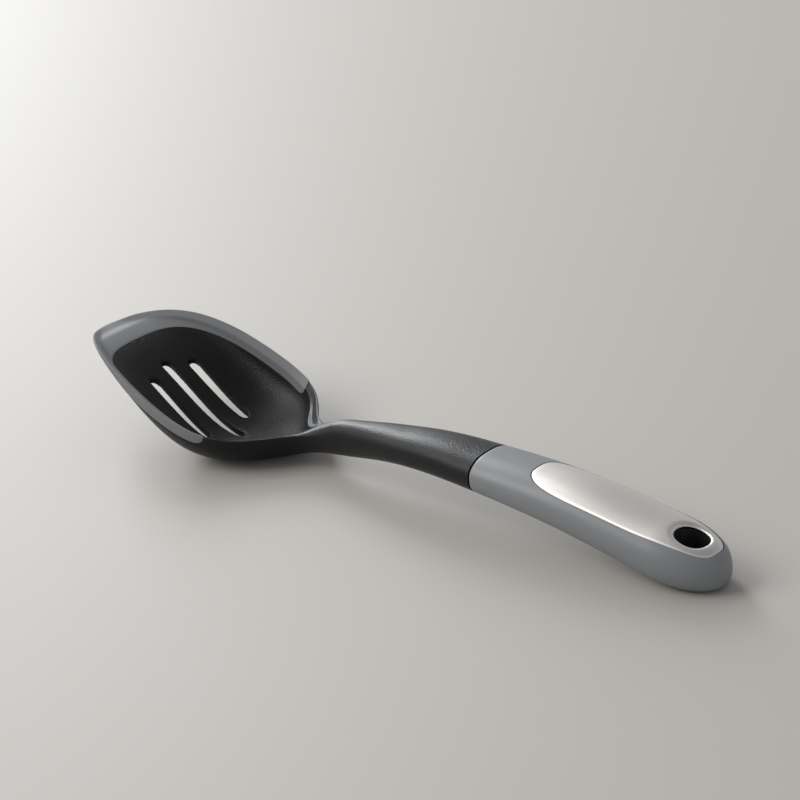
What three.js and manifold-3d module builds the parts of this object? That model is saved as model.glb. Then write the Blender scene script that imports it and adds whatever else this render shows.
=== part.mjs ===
// Slotted cooking spoon: a black nylon bowl and neck in one moulding, a grey silicone edge keyed onto
// the front of the rim, a rigid core pushed over the tang, a soft grip moulded round the core, and a
// stamped steel plate bedded on a foam pad in the top of the grip, drawn down into the hang hole.
// Millimetres. X runs from the tip of the bowl to the end of the grip, Z is up, and the two sides
// mirror each other in the plane Y = 0.

import * as THREE from 'three';
import { mergeVertices } from 'three/addons/utils/BufferGeometryUtils.js';
import Module from 'manifold-3d';

const wasm = await Module();
wasm.setup();

// Overall lengths along X
const HEAD_LENGTH = 139;
const NECK_LENGTH = 82;
const GRIP_LENGTH = 109;

// Fits
const CLEARANCE = 0.3;

// Bowl, seen from above: half outline from the tip to its widest place, then in to the neck
const BOWL_WIDTH = 68;
const BOWL_WIDEST_AT = 72;
const TIP_BLUNTNESS = 12;
const SIDE_FULLNESS = 45.5;
const SHOULDER_LENGTH = 40;
const NECK_LEAD_IN = 27;
const NECK_STRAIGHT = 6;
const NECK_BLEND = 24;

// Bowl, seen from the side: rim and underside
const TIP_HEIGHT = 38;
const TIP_EDGE = 1;
const RIM_RISE_AT = 44;
const RIM_RISE = 53;
const RIM_DIP_AT = 91;
const RIM_DIP = -2.6;
const RIM_ROOT_SLOPE = 0.45;
const KEEL_SHOULDER_AT = 43;
const KEEL_SHOULDER = 32;
const KEEL_TURN_AT = 54;
const LOWEST_AT = 83;
const KEEL_REAR_HANDLE = 30;
const KEEL_ROOT_HANDLE = 20;
const KEEL_ROOT_SLOPE = 0.1;
const BOWL_SECTION_POWER = 2.6;
const WALL = 3;

// Hollow of the bowl: where it runs out on top of the neck
const HOLLOW_END_AT = 131;
const HOLLOW_SHOULDER_LENGTH = 39;
const HOLLOW_LEAD_IN = 30;
const HOLLOW_LEAD_HALF_WIDTH = 2.5;
const HOLLOW_FLOOR_HANDLE = 28;
const HOLLOW_RAMP_HANDLE = 13;
const HOLLOW_RAMP_HEIGHT = 9;
const HOLLOW_LIFT = 1.2;

// Drain slots
const SLOT_WIDTH = 4.6;
const SLOT_PITCH = 11;
const MIDDLE_SLOT_FROM = 35;
const MIDDLE_SLOT_TO = 80.5;
const SIDE_SLOT_FROM = 39.5;
const SIDE_SLOT_TO = 72;

// Silicone edge: a channel over a thin tongue on the rim, plugged through holes in the tongue
const EDGE_END_AT = 92;
const EDGE_END_SLANT = 6;
const EDGE_OUTSIDE_DEPTH_TIP = 8.5;
const EDGE_OUTSIDE_DEPTH_END = 5;
const EDGE_INSIDE_DEPTH_TIP = 4.9;
const EDGE_INSIDE_DEPTH_END = 7.4;
const EDGE_COVER = 2;
const EDGE_LIP = 0.8;
const ANCHOR_FIRST_AT = 34;
const ANCHOR_PITCH = 14;
const ANCHOR_COUNT = 4;
const ANCHOR_DIAMETER = 1.6;
const ANCHOR_DEPTH = 3.6;

// Neck and grip sections: full width, underside height and thickness at five places
const ROOT = { width: 12, under: 8.7, thick: 12.7 };
const CROWN = { width: 19.6, under: 14.6, thick: 14.7 };
const JOINT = { width: 25.6, under: 14.1, thick: 15.4 };
const SWELL = { width: 28.2, under: 9.2, thick: 18.6 };
const HEEL = { width: 29.8, under: 1.1, thick: 20.5 };
const HANDLE_SECTION_POWER = 2.4;
const END_ROUND = 26;
const END_TOP_POWER = 0.5;
const END_UNDER_POWER = 0.68;
const REST_FLAT = 0.35;

// Tang, core and grip
const TANG_LENGTH = 60;
const TANG_ROOT_WIDTH = 13;
const TANG_ROOT_THICKNESS = 6;
const TANG_TIP_WIDTH = 10;
const TANG_TIP_THICKNESS = 5;
const TANG_SECTION_POWER = 4;
const KEY_FROM_JOINT = 36;
const KEY_DIAMETER = 4.4;
const KEY_BITE = 1;
const GRIP_WALL = 3;

// Steel plate, its pad and the hang hole
const PLATE_LENGTH = 80.6;
const PLATE_WIDTH = 22.6;
const PLATE_END_MARGIN = 3.3;
const PLATE_OUTLINE_POWER = 3.6;
const PLATE_THICKNESS = 0.8;
const HOLE_FROM_END = 14.4;
const HOLE_LENGTH = 13;
const HOLE_WIDTH = 11.8;
const HOLE_OUTLINE_POWER = 2.2;
const COLLAR_DEPTH = 1.8;
const BOSS_WALL = 2.2;
const BOSS_RECESS = 0.5;
const PAD_HOLE_MARGIN = 3;

// Facets, the finest step along a line, and how far a cutting shape reaches past what it cuts
const BOWL_RING = [16, 8];
const HANDLE_RING = [12, 10];
const TANG_RING = [8, 8];
const BOWL_STEPS = 14;
const HANDLE_STEPS = 8;
const OVAL_SIDES = 48;
const HOLE_SIDES = 28;
const ROUND_SIDES = 12;
const HALVINGS = 40;
const FINE = 0.1;
const WELD = 1e-4;
const REACH = 25;

// Places that follow from the sizes above
const JOINT_AT = HEAD_LENGTH + NECK_LENGTH;
const LENGTH = JOINT_AT + GRIP_LENGTH;
const NECK_AT = HEAD_LENGTH - NECK_STRAIGHT;
const CROWN_AT = HEAD_LENGTH + NECK_LENGTH / 2;
const HEEL_AT = LENGTH - END_ROUND;
const SWELL_AT = (JOINT_AT + HEEL_AT) / 2;
const HALF_BOWL = BOWL_WIDTH / 2;
const STATIONS = [
  [HEAD_LENGTH, ROOT],
  [CROWN_AT, CROWN],
  [JOINT_AT, JOINT],
  [SWELL_AT, SWELL],
  [HEEL_AT, HEEL],
];
const OVERHEAD = TIP_HEIGHT + 2 * REACH;

// Solids
function solid(geometry) {
  const bare = geometry.clone();
  bare.deleteAttribute('normal');
  bare.deleteAttribute('uv');
  const merged = mergeVertices(bare, WELD);
  const vertProperties = new Float32Array(merged.attributes.position.array);
  const triVerts = new Uint32Array(merged.index.array);
  return new wasm.Manifold(new wasm.Mesh({ numProp: 3, vertProperties, triVerts }));
}

function geometryOf(body) {
  const mesh = body.getMesh();
  const geometry = new THREE.BufferGeometry();
  geometry.setAttribute('position', new THREE.BufferAttribute(mesh.vertProperties, 3));
  geometry.setIndex(new THREE.BufferAttribute(mesh.triVerts, 1));
  geometry.computeVertexNormals();
  return geometry;
}

// A skin over closed rings of equal count, pointed or flat at both ends: each end is one point
function loft(rings, first, last) {
  const count = rings[0].length;
  const points = [...rings.flat(), first, last];
  const firstIndex = rings.length * count;
  const index = [];
  for (let j = 0; j < count; j += 1) {
    const next = (j + 1) % count;
    for (let i = 0; i + 1 < rings.length; i += 1) {
      const low = i * count;
      const high = low + count;
      index.push(low + j, low + next, high + j);
      index.push(low + next, high + next, high + j);
    }
    const end = firstIndex - count;
    index.push(firstIndex, next, j);
    index.push(firstIndex + 1, end + j, end + next);
  }
  const geometry = new THREE.BufferGeometry().setFromPoints(points);
  geometry.setIndex(index);
  return solid(geometry);
}

function middleOf(ring) {
  const box = new THREE.Box3().setFromPoints(ring);
  return box.getCenter(new THREE.Vector3());
}

// An outline in X and Y, drawn straight up from one height to another
function prism(outline, from, to) {
  const geometry = new THREE.ExtrudeGeometry(outline, { depth: to - from, bevelEnabled: false });
  return solid(geometry.translate(0, 0, from));
}

// An outline in X and Z, drawn across the whole spoon
function curtain(outline) {
  const across = BOWL_WIDTH + 2 * REACH;
  const geometry = new THREE.ExtrudeGeometry(outline, { depth: across, bevelEnabled: false });
  geometry.rotateX(Math.PI / 2);
  return solid(geometry.translate(0, across / 2, 0));
}

function signedPower(value, power) {
  return Math.sign(value) * Math.abs(value) ** power;
}

function oval(centreX, halfLength, halfWidth, power, sides) {
  const points = [];
  for (let i = 0; i < sides; i += 1) {
    const angle = (i / sides) * 2 * Math.PI;
    const x = centreX + halfLength * signedPower(Math.cos(angle), 2 / power);
    points.push(new THREE.Vector2(x, halfWidth * signedPower(Math.sin(angle), 2 / power)));
  }
  return new THREE.Shape(points);
}

// Lines of the spoon
function bezier(...points) {
  return new THREE.CubicBezierCurve(...points.map(([x, y]) => new THREE.Vector2(x, y)));
}

function heightOn(curve, x) {
  let low = 0;
  let high = 1;
  for (let i = 0; i < HALVINGS; i += 1) {
    const middle = (low + high) / 2;
    if (curve.getPoint(middle).x < x) low = middle;
    else high = middle;
  }
  return curve.getPoint((low + high) / 2).y;
}

// A smooth line through the handle's stations, straight past the last one
function handleLine(value, rootSlope) {
  const xs = STATIONS.map(([x]) => x);
  const ys = STATIONS.map(([, section]) => value(section));
  const lastOne = xs.length - 1;
  const slopes = xs.map((x, i) => {
    if (i === 0) return rootSlope;
    const after = Math.min(i + 1, lastOne);
    return (ys[after] - ys[i - 1]) / (xs[after] - xs[i - 1]);
  });
  return (x) => {
    if (x >= xs[lastOne]) return ys[lastOne] + slopes[lastOne] * (x - xs[lastOne]);
    let i = 0;
    while (x > xs[i + 1]) i += 1;
    const span = xs[i + 1] - xs[i];
    const t = (x - xs[i]) / span;
    const fromStart = (1 + 2 * t) * ys[i] + t * span * slopes[i];
    const fromEnd = (3 - 2 * t) * ys[i + 1] - (1 - t) * span * slopes[i + 1];
    return (1 - t) ** 2 * fromStart + t ** 2 * fromEnd;
  };
}

const rootTop = ROOT.under + ROOT.thick;
const rimRun = HEAD_LENGTH - RIM_DIP_AT;
const rimLine = bezier(
  [0, TIP_HEIGHT], [RIM_RISE_AT, RIM_RISE],
  [RIM_DIP_AT, rootTop - RIM_ROOT_SLOPE * rimRun + RIM_DIP], [HEAD_LENGTH, rootTop],
);
const keelFront = bezier(
  [0, TIP_HEIGHT - TIP_EDGE], [KEEL_SHOULDER_AT, KEEL_SHOULDER], [KEEL_TURN_AT, 0], [LOWEST_AT, 0],
);
const keelRear = bezier(
  [LOWEST_AT, 0], [LOWEST_AT + KEEL_REAR_HANDLE, 0],
  [HEAD_LENGTH - KEEL_ROOT_HANDLE, ROOT.under - KEEL_ROOT_SLOPE * KEEL_ROOT_HANDLE],
  [HEAD_LENGTH, ROOT.under],
);
const planRear = bezier(
  [BOWL_WIDEST_AT, HALF_BOWL], [BOWL_WIDEST_AT + SHOULDER_LENGTH, HALF_BOWL],
  [NECK_AT - NECK_LEAD_IN, ROOT.width / 2], [NECK_AT, ROOT.width / 2],
);
const handleTop = handleLine((s) => s.under + s.thick, RIM_ROOT_SLOPE);
const handleUnder = handleLine((s) => s.under, KEEL_ROOT_SLOPE);
const handleHalfWidth = handleLine((s) => s.width / 2, 0);

function handleMiddle(x) {
  return (handleTop(x) + handleUnder(x)) / 2;
}

function rimHeight(x) {
  return heightOn(rimLine, Math.max(x, 0));
}

function keelHeight(x) {
  return x < LOWEST_AT ? heightOn(keelFront, x) : heightOn(keelRear, x);
}

// One ring of a section: its lower half from side to side, then its upper half back again
function ring(x, halfWidth, under, waist, top, power, [lower, upper]) {
  const points = [];
  for (let i = 0; i < lower; i += 1) {
    const angle = -Math.PI / 2 + (Math.PI * i) / lower;
    const y = halfWidth * signedPower(Math.sin(angle), 2 / power);
    points.push(new THREE.Vector3(x, y, waist - (waist - under) * Math.cos(angle) ** (2 / power)));
  }
  for (let i = 0; i < upper; i += 1) {
    const angle = Math.PI / 2 - (Math.PI * i) / upper;
    const y = halfWidth * signedPower(Math.sin(angle), 2 / power);
    const rise = Math.max(Math.cos(angle), 0) ** (2 / power);
    points.push(new THREE.Vector3(x, y, waist + (top - waist) * rise));
  }
  return points;
}

// Where a skin this far inside the bowl's outside first lies below the rim
function tipOf(inset) {
  let x = inset;
  while (rimHeight(x) - keelHeight(x) < inset + 2 * FINE) x += FINE;
  return x;
}

function planFront(inset) {
  const half = HALF_BOWL - inset;
  const tip = inset > 0 ? tipOf(inset) : 0;
  return bezier(
    [tip, 0], [tip, TIP_BLUNTNESS],
    [BOWL_WIDEST_AT - SIDE_FULLNESS, half], [BOWL_WIDEST_AT, half],
  );
}

function bowlHalfWidth(x, inset) {
  if (x < BOWL_WIDEST_AT) return heightOn(planFront(inset), x);
  return heightOn(planRear, x) - inset;
}

// The bowl's section has its widest place at the rim, and the neck's has it halfway up
function bowlRing(x, inset) {
  const top = rimHeight(x);
  const under = keelHeight(x) + inset;
  const neckness = THREE.MathUtils.smoothstep(x, HEAD_LENGTH - NECK_BLEND, HEAD_LENGTH);
  const waist = top - (neckness * (top - under)) / 2;
  const power = THREE.MathUtils.lerp(BOWL_SECTION_POWER, HANDLE_SECTION_POWER, neckness);
  return ring(x, bowlHalfWidth(x, inset), under, waist, top, power, BOWL_RING);
}

function bowlRings(inset) {
  const rings = [];
  const front = planFront(inset);
  for (let i = 1; i <= BOWL_STEPS; i += 1) rings.push(bowlRing(front.getPoint(i / BOWL_STEPS).x, inset));
  for (let i = 1; i <= BOWL_STEPS; i += 1) rings.push(bowlRing(planRear.getPoint(i / BOWL_STEPS).x, inset));
  rings.push(bowlRing(HEAD_LENGTH, inset));
  return rings;
}

// The handle's section, this far inside its outside, rounded off at the end, more so underneath
function handleRing(x, inset, facets) {
  const past = Math.max(x - HEEL_AT, 0) / (END_ROUND - inset);
  const rounding = Math.sqrt(Math.max(1 - past ** 2, 0));
  const halfWidth = (handleHalfWidth(x) - inset) * rounding;
  const halfThick = (handleTop(x) - handleUnder(x)) / 2 - inset;
  const middle = handleMiddle(x);
  const under = middle - halfThick * rounding ** END_UNDER_POWER;
  const top = middle + halfThick * rounding ** END_TOP_POWER;
  return ring(x, halfWidth, under, middle, top, HANDLE_SECTION_POWER, facets);
}

function handleLoft(from, inset) {
  const rings = [];
  for (let i = 0; i <= HANDLE_STEPS; i += 1) {
    rings.push(handleRing(THREE.MathUtils.lerp(from, HEEL_AT, i / HANDLE_STEPS), inset, HANDLE_RING));
  }
  const round = END_ROUND - inset;
  for (let i = 1; i < HANDLE_STEPS; i += 1) {
    const turn = (i / HANDLE_STEPS) * (Math.PI / 2);
    rings.push(handleRing(HEEL_AT + round * Math.sin(turn), inset, HANDLE_RING));
  }
  const end = LENGTH - inset;
  const tip = new THREE.Vector3(end, 0, handleMiddle(end));
  return loft(rings, middleOf(rings[0]), tip);
}

// Everything that lies below the surface that the spoon rests on
function belowRest() {
  const floor = new THREE.Shape();
  floor.moveTo(-REACH, -REACH);
  floor.lineTo(LENGTH + REACH, -REACH);
  floor.lineTo(LENGTH + REACH, REST_FLAT);
  floor.lineTo(-REACH, REST_FLAT);
  return curtain(floor);
}

// Bowl and neck outside, with the hollow taken out
function bowlSkin(inset) {
  const rings = bowlRings(inset);
  const tip = new THREE.Vector3(planFront(inset).getPoint(0).x, 0, rings[0][0].z);
  return loft(rings, tip, middleOf(rings[rings.length - 1]));
}

function bowlAndNeck() {
  const rings = bowlRings(0);
  for (let i = 1; i <= HANDLE_STEPS; i += 1) {
    rings.push(handleRing(THREE.MathUtils.lerp(HEAD_LENGTH, JOINT_AT, i / HANDLE_STEPS), 0, BOWL_RING));
  }
  const tip = new THREE.Vector3(0, 0, TIP_HEIGHT - TIP_EDGE / 2);
  return loft(rings, tip, middleOf(rings[rings.length - 1]));
}

function hollow() {
  const half = HALF_BOWL - WALL;
  const front = planFront(WALL);
  const rear = bezier(
    [BOWL_WIDEST_AT, half], [BOWL_WIDEST_AT + HOLLOW_SHOULDER_LENGTH, half],
    [HOLLOW_END_AT - HOLLOW_LEAD_IN, HOLLOW_LEAD_HALF_WIDTH], [HOLLOW_END_AT, 0],
  );
  const ramp = bezier(
    [LOWEST_AT, WALL], [LOWEST_AT + HOLLOW_FLOOR_HANDLE, WALL],
    [HOLLOW_END_AT - HOLLOW_RAMP_HANDLE, HOLLOW_RAMP_HEIGHT],
    [HOLLOW_END_AT, rimHeight(HOLLOW_END_AT) + HOLLOW_LIFT],
  );
  const section = (point) => {
    const brim = rimHeight(point.x);
    const floor = point.x < LOWEST_AT ? keelHeight(point.x) + WALL : heightOn(ramp, point.x);
    const under = Math.min(floor, brim - FINE);
    const points = ring(point.x, point.y, under, brim, brim, BOWL_SECTION_POWER, BOWL_RING);
    return points.map((p, i) => (i > BOWL_RING[0] ? p.setZ(brim + REACH) : p));
  };
  const rings = [];
  for (let i = 1; i <= BOWL_STEPS; i += 1) rings.push(section(front.getPoint(i / BOWL_STEPS)));
  for (let i = 1; i < BOWL_STEPS; i += 1) rings.push(section(rear.getPoint(i / BOWL_STEPS)));
  const tip = front.getPoint(0).x;
  const first = new THREE.Vector3(tip, 0, rimHeight(tip));
  const last = new THREE.Vector3(HOLLOW_END_AT, 0, rimHeight(HOLLOW_END_AT) + HOLLOW_LIFT);
  return loft(rings, first, last);
}

function slot(from, to, y) {
  const radius = SLOT_WIDTH / 2;
  const outline = new THREE.Shape();
  outline.absarc(from + radius, y, radius, Math.PI / 2, (3 * Math.PI) / 2, false);
  outline.absarc(to - radius, y, radius, -Math.PI / 2, Math.PI / 2, false);
  return prism(outline, -REACH, OVERHEAD);
}

// The part of the rim that lies less than a given depth below its crest, as far as the edge's end
function rimZone(depthTip, depthEnd, grow) {
  const outline = new THREE.Shape();
  const last = EDGE_END_AT - EDGE_END_SLANT + grow;
  const depth = (x) => THREE.MathUtils.lerp(depthTip, depthEnd, x / EDGE_END_AT);
  const lowest = (x) => rimHeight(x) - depth(x) - grow;
  outline.moveTo(-REACH, OVERHEAD);
  outline.lineTo(-REACH, lowest(0));
  for (let i = 0; i <= 2 * BOWL_STEPS; i += 1) {
    const x = (last - EDGE_END_SLANT / 2) * (i / (2 * BOWL_STEPS));
    outline.lineTo(x, lowest(x));
  }
  outline.quadraticCurveTo(last, lowest(last), EDGE_END_AT + grow, rimHeight(EDGE_END_AT + grow));
  outline.lineTo(EDGE_END_AT + grow + EDGE_END_SLANT, OVERHEAD);
  return curtain(outline);
}

// Where the channel of the edge has material, or with room round it where the tongue has none
function edgeZone(grow) {
  const outside = rimZone(EDGE_OUTSIDE_DEPTH_TIP, EDGE_OUTSIDE_DEPTH_END, grow);
  const inside = rimZone(EDGE_INSIDE_DEPTH_TIP, EDGE_INSIDE_DEPTH_END, grow);
  const outerLip = outside.subtract(bowlSkin(EDGE_LIP + grow));
  const innerLip = inside.intersect(bowlSkin(WALL - EDGE_LIP - grow));
  let zone = rimZone(EDGE_COVER, EDGE_COVER, grow).add(outerLip).add(innerLip);
  for (let i = 0; i < ANCHOR_COUNT; i += 1) {
    const x = ANCHOR_FIRST_AT + i * ANCHOR_PITCH;
    const radius = ANCHOR_DIAMETER / 2 + grow;
    const pin = new THREE.CylinderGeometry(radius, radius, BOWL_WIDTH + REACH, ROUND_SIDES);
    zone = zone.add(solid(pin.translate(x, 0, rimHeight(x) - ANCHOR_DEPTH)));
  }
  return zone;
}

// Tang and the socket that takes it
function tang(grow) {
  const rings = [];
  const from = JOINT_AT - TANG_ROOT_THICKNESS / 2;
  const to = JOINT_AT + TANG_LENGTH + grow;
  for (let i = 0; i <= HANDLE_STEPS; i += 1) {
    const along = i / HANDLE_STEPS;
    const x = THREE.MathUtils.lerp(from, to, along);
    const halfWidth = THREE.MathUtils.lerp(TANG_ROOT_WIDTH, TANG_TIP_WIDTH, along) / 2 + grow;
    const halfThick = THREE.MathUtils.lerp(TANG_ROOT_THICKNESS, TANG_TIP_THICKNESS, along) / 2 + grow;
    const [under, middle, top] = [-1, 0, 1].map((side) => handleMiddle(x) + side * halfThick);
    rings.push(ring(x, halfWidth, under, middle, top, TANG_SECTION_POWER, TANG_RING));
  }
  return loft(rings, middleOf(rings[0]), middleOf(rings[HANDLE_STEPS]));
}

function key(grow) {
  const x = JOINT_AT + KEY_FROM_JOINT;
  const radius = KEY_DIAMETER / 2 + grow;
  const length = TANG_ROOT_THICKNESS + 2 * (CLEARANCE + KEY_BITE);
  const post = new THREE.CylinderGeometry(radius, radius, length, ROUND_SIDES);
  return solid(post.rotateX(Math.PI / 2).translate(x, 0, handleMiddle(x)));
}

// Plate outline and hang hole, each as a prism right through the grip
function plateOutline(grow) {
  const middle = LENGTH - PLATE_END_MARGIN - PLATE_LENGTH / 2;
  const halfLength = PLATE_LENGTH / 2 + grow;
  const halfWidth = PLATE_WIDTH / 2 + grow;
  return prism(oval(middle, halfLength, halfWidth, PLATE_OUTLINE_POWER, OVAL_SIDES), -REACH, OVERHEAD);
}

function hole(grow) {
  const middle = LENGTH - HOLE_FROM_END;
  const halfLength = HOLE_LENGTH / 2 + grow;
  const halfWidth = HOLE_WIDTH / 2 + grow;
  return prism(oval(middle, halfLength, halfWidth, HOLE_OUTLINE_POWER, HOLE_SIDES), -REACH, OVERHEAD);
}

// Upper half of the handle, where the plate lies
function upperHalf() {
  const outline = new THREE.Shape();
  const steps = 2 * HANDLE_STEPS;
  outline.moveTo(JOINT_AT - REACH, OVERHEAD);
  for (let i = 0; i <= steps; i += 1) {
    const x = THREE.MathUtils.lerp(JOINT_AT - REACH, LENGTH + REACH, i / steps);
    outline.lineTo(x, handleMiddle(x));
  }
  outline.lineTo(LENGTH + REACH, OVERHEAD);
  return curtain(outline);
}

const gripFrom = JOINT_AT + CLEARANCE;
const below = belowRest();
const above = upperHalf();
const handleOutside = handleLoft(gripFrom, 0);
const shell = bowlAndNeck().subtract(hollow());

function spoonBody() {
  let body = shell.subtract(edgeZone(CLEARANCE)).add(tang(0)).subtract(key(CLEARANCE));
  body = body.subtract(slot(MIDDLE_SLOT_FROM, MIDDLE_SLOT_TO, 0));
  for (const side of [-1, 1]) body = body.subtract(slot(SIDE_SLOT_FROM, SIDE_SLOT_TO, side * SLOT_PITCH));
  return body.subtract(below);
}

function siliconeEdge() {
  return shell.intersect(edgeZone(0));
}

// Rigid core: fills the grip inside its wall, with a boss round the hang hole from collar to underside
function handleCore() {
  const boss = hole(BOSS_WALL);
  const bossLower = boss.intersect(handleLoft(gripFrom, BOSS_RECESS)).subtract(above);
  const bossUpper = boss.intersect(handleLoft(gripFrom, COLLAR_DEPTH + CLEARANCE)).intersect(above);
  const core = handleLoft(gripFrom, GRIP_WALL).add(bossLower).add(bossUpper);
  return core.subtract(hole(0)).subtract(tang(CLEARANCE)).add(key(0)).subtract(below);
}

function gripSleeve() {
  const window = plateOutline(CLEARANCE).intersect(above);
  const room = handleLoft(gripFrom - CLEARANCE, GRIP_WALL - CLEARANCE);
  const eye = hole(BOSS_WALL + CLEARANCE);
  return handleOutside.subtract(room).subtract(window).subtract(eye).subtract(below);
}

// Stamped plate: a crowned skin with its edge turned down, and a collar drawn down into the hole
function steelInlay() {
  const depth = GRIP_WALL - CLEARANCE;
  const blank = plateOutline(0).intersect(handleOutside).intersect(above);
  const inside = plateOutline(-PLATE_THICKNESS).intersect(handleLoft(gripFrom, PLATE_THICKNESS));
  const skin = blank.subtract(inside).subtract(handleLoft(gripFrom, depth));
  const drawn = hole(PLATE_THICKNESS).intersect(handleOutside).intersect(above);
  const collar = drawn.subtract(handleLoft(gripFrom, COLLAR_DEPTH));
  return skin.add(collar).subtract(hole(0));
}

// Foam pad between the plate and the core, short of the collar
function inlayPad() {
  const outline = plateOutline(-PLATE_THICKNESS - CLEARANCE).intersect(above);
  const underPlate = handleLoft(gripFrom, PLATE_THICKNESS + CLEARANCE);
  const layer = underPlate.subtract(handleLoft(gripFrom, GRIP_WALL - CLEARANCE));
  const stop = LENGTH - HOLE_FROM_END - HOLE_LENGTH / 2 - PAD_HOLE_MARGIN;
  const keep = new THREE.Shape();
  keep.moveTo(JOINT_AT, -REACH);
  keep.lineTo(stop, -REACH);
  keep.lineTo(stop, OVERHEAD);
  keep.lineTo(JOINT_AT, OVERHEAD);
  return outline.intersect(layer).intersect(curtain(keep));
}

const blackNylon = new THREE.MeshStandardMaterial({ color: 0x1d1d1f, roughness: 0.5, metalness: 0 });
const greySilicone = new THREE.MeshStandardMaterial({ color: 0x77797c, roughness: 0.62, metalness: 0 });
const blackCore = new THREE.MeshStandardMaterial({ color: 0x131314, roughness: 0.55, metalness: 0 });
const greyGrip = new THREE.MeshStandardMaterial({ color: 0x797a7d, roughness: 0.6, metalness: 0 });
const brushedSteel = new THREE.MeshStandardMaterial({ color: 0xcbc8c2, roughness: 0.32, metalness: 1 });
const whiteFoam = new THREE.MeshStandardMaterial({ color: 0xd8d8d4, roughness: 0.9, metalness: 0 });

const spoon = new THREE.Group();
const pieces = [
  ['spoon_body', spoonBody(), blackNylon],
  ['silicone_edge', siliconeEdge(), greySilicone],
  ['handle_core', handleCore(), blackCore],
  ['grip_sleeve', gripSleeve(), greyGrip],
  ['steel_inlay', steelInlay(), brushedSteel],
  ['inlay_pad', inlayPad(), whiteFoam],
];
for (const [name, body, material] of pieces) {
  const mesh = new THREE.Mesh(geometryOf(body), material);
  mesh.name = name;
  spoon.add(mesh);
}
spoon.position.set(-LENGTH / 2, 0, -REST_FLAT);

export default spoon;
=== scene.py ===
import math

import bpy
import numpy as np
from mathutils import Matrix, Vector


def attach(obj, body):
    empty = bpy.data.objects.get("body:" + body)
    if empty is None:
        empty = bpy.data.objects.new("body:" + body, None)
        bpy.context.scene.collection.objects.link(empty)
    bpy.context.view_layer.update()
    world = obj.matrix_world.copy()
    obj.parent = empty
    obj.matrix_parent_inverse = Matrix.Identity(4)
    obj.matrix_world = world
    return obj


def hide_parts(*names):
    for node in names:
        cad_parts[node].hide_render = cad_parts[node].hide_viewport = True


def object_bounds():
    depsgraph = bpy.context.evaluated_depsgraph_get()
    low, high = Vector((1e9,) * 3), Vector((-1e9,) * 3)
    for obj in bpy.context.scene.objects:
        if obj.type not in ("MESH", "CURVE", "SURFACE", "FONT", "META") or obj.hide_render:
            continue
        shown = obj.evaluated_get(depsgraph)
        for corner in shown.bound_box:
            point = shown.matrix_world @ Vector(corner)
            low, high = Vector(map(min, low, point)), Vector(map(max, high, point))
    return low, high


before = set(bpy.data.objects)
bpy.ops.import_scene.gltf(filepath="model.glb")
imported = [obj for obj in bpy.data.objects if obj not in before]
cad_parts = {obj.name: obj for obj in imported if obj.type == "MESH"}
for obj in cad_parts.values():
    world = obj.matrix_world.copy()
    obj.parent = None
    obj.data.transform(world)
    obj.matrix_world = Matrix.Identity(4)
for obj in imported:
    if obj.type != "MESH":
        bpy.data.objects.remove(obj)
cad_low, cad_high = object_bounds()

# Spoon body
# Bowl, neck and tang are one moulding in black nylon: a deep scoop with three drain slots, a rim that
# runs back to a notch on the neck, and an arched neck with a fine moulded grain. Sizes are millimetres
# from the tip of the bowl, along X to the end of the grip.
MM = 0.001
REST_FLAT = 0.35
TIP = np.array([cad_low.x / MM, 0.0, -REST_FLAT])

HEAD_LENGTH = 139.0
JOINT_AT = 221.0
LENGTH = (cad_high.x - cad_low.x) / MM
END_ROUND = 26.0
HEEL_AT = LENGTH - END_ROUND
HANDLE_POWER = 2.4
BOWL_POWER = 2.6
HALF_BOWL = (cad_high.y - cad_low.y) / MM / 2
WIDEST_AT = 72.0
LOWEST_AT = 83.0
NECK_BLEND = 24.0
WALL = 3.0
RIM_FALL = 2.6
RIM_LEVEL_BETWEEN = (112, 130)
BRINK_CLEAR = 0.1
THIN_TIP = 0.9
HOLLOW_TIP = 5.7
HOLLOW_END = 131.0
RAMP_RISE = 1.2
RIM_SLOPE = 0.45
ROOT_LIFT = 1.5
ROOT_RISE, ROOT_FADE = (112, 134), (135, 152)
CROWN_DROP = 0.9
CROWN_RISE, CROWN_FADE = (143, 160), (175, 210)
KEEL_SLOPE = 0.1
STEEPEST = 8
CURVE_COUNT = 3001
# Each row: place along X, width, height of the underside, thickness
SECTIONS = np.array([
    (HEAD_LENGTH, 12.0, 8.7, 12.7),
    ((HEAD_LENGTH + JOINT_AT) / 2, 19.6, 14.6, 14.7),
    (JOINT_AT, 25.6, 14.1, 15.4),
    ((JOINT_AT + HEEL_AT) / 2, 28.2, 9.2, 18.6),
    (HEEL_AT, 29.8, 1.1, 20.5),
])
SECTION_AT, SECTION_WIDTH, SECTION_UNDER, SECTION_THICK = SECTIONS.T
ROOT_TOP = SECTION_UNDER[0] + SECTION_THICK[0]


def bezier(*corners):
    """Points along the curve that four corners draw."""
    t = np.linspace(0, 1, CURVE_COUNT)[:, None]
    a, b, c, d = (np.array(corner, float) for corner in corners)
    return (1 - t) ** 3 * a + 3 * t * (1 - t) ** 2 * b + 3 * t**2 * (1 - t) * c + t**3 * d


def on(line, x):
    """Height of a line at x."""
    return np.interp(x, line[:, 0], line[:, 1])


def smooth(x, start, end):
    """0 before start, 1 after end, and an easy rise between them."""
    t = np.clip((x - start) / (end - start), 0, 1)
    return t * t * (3 - 2 * t)


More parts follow.
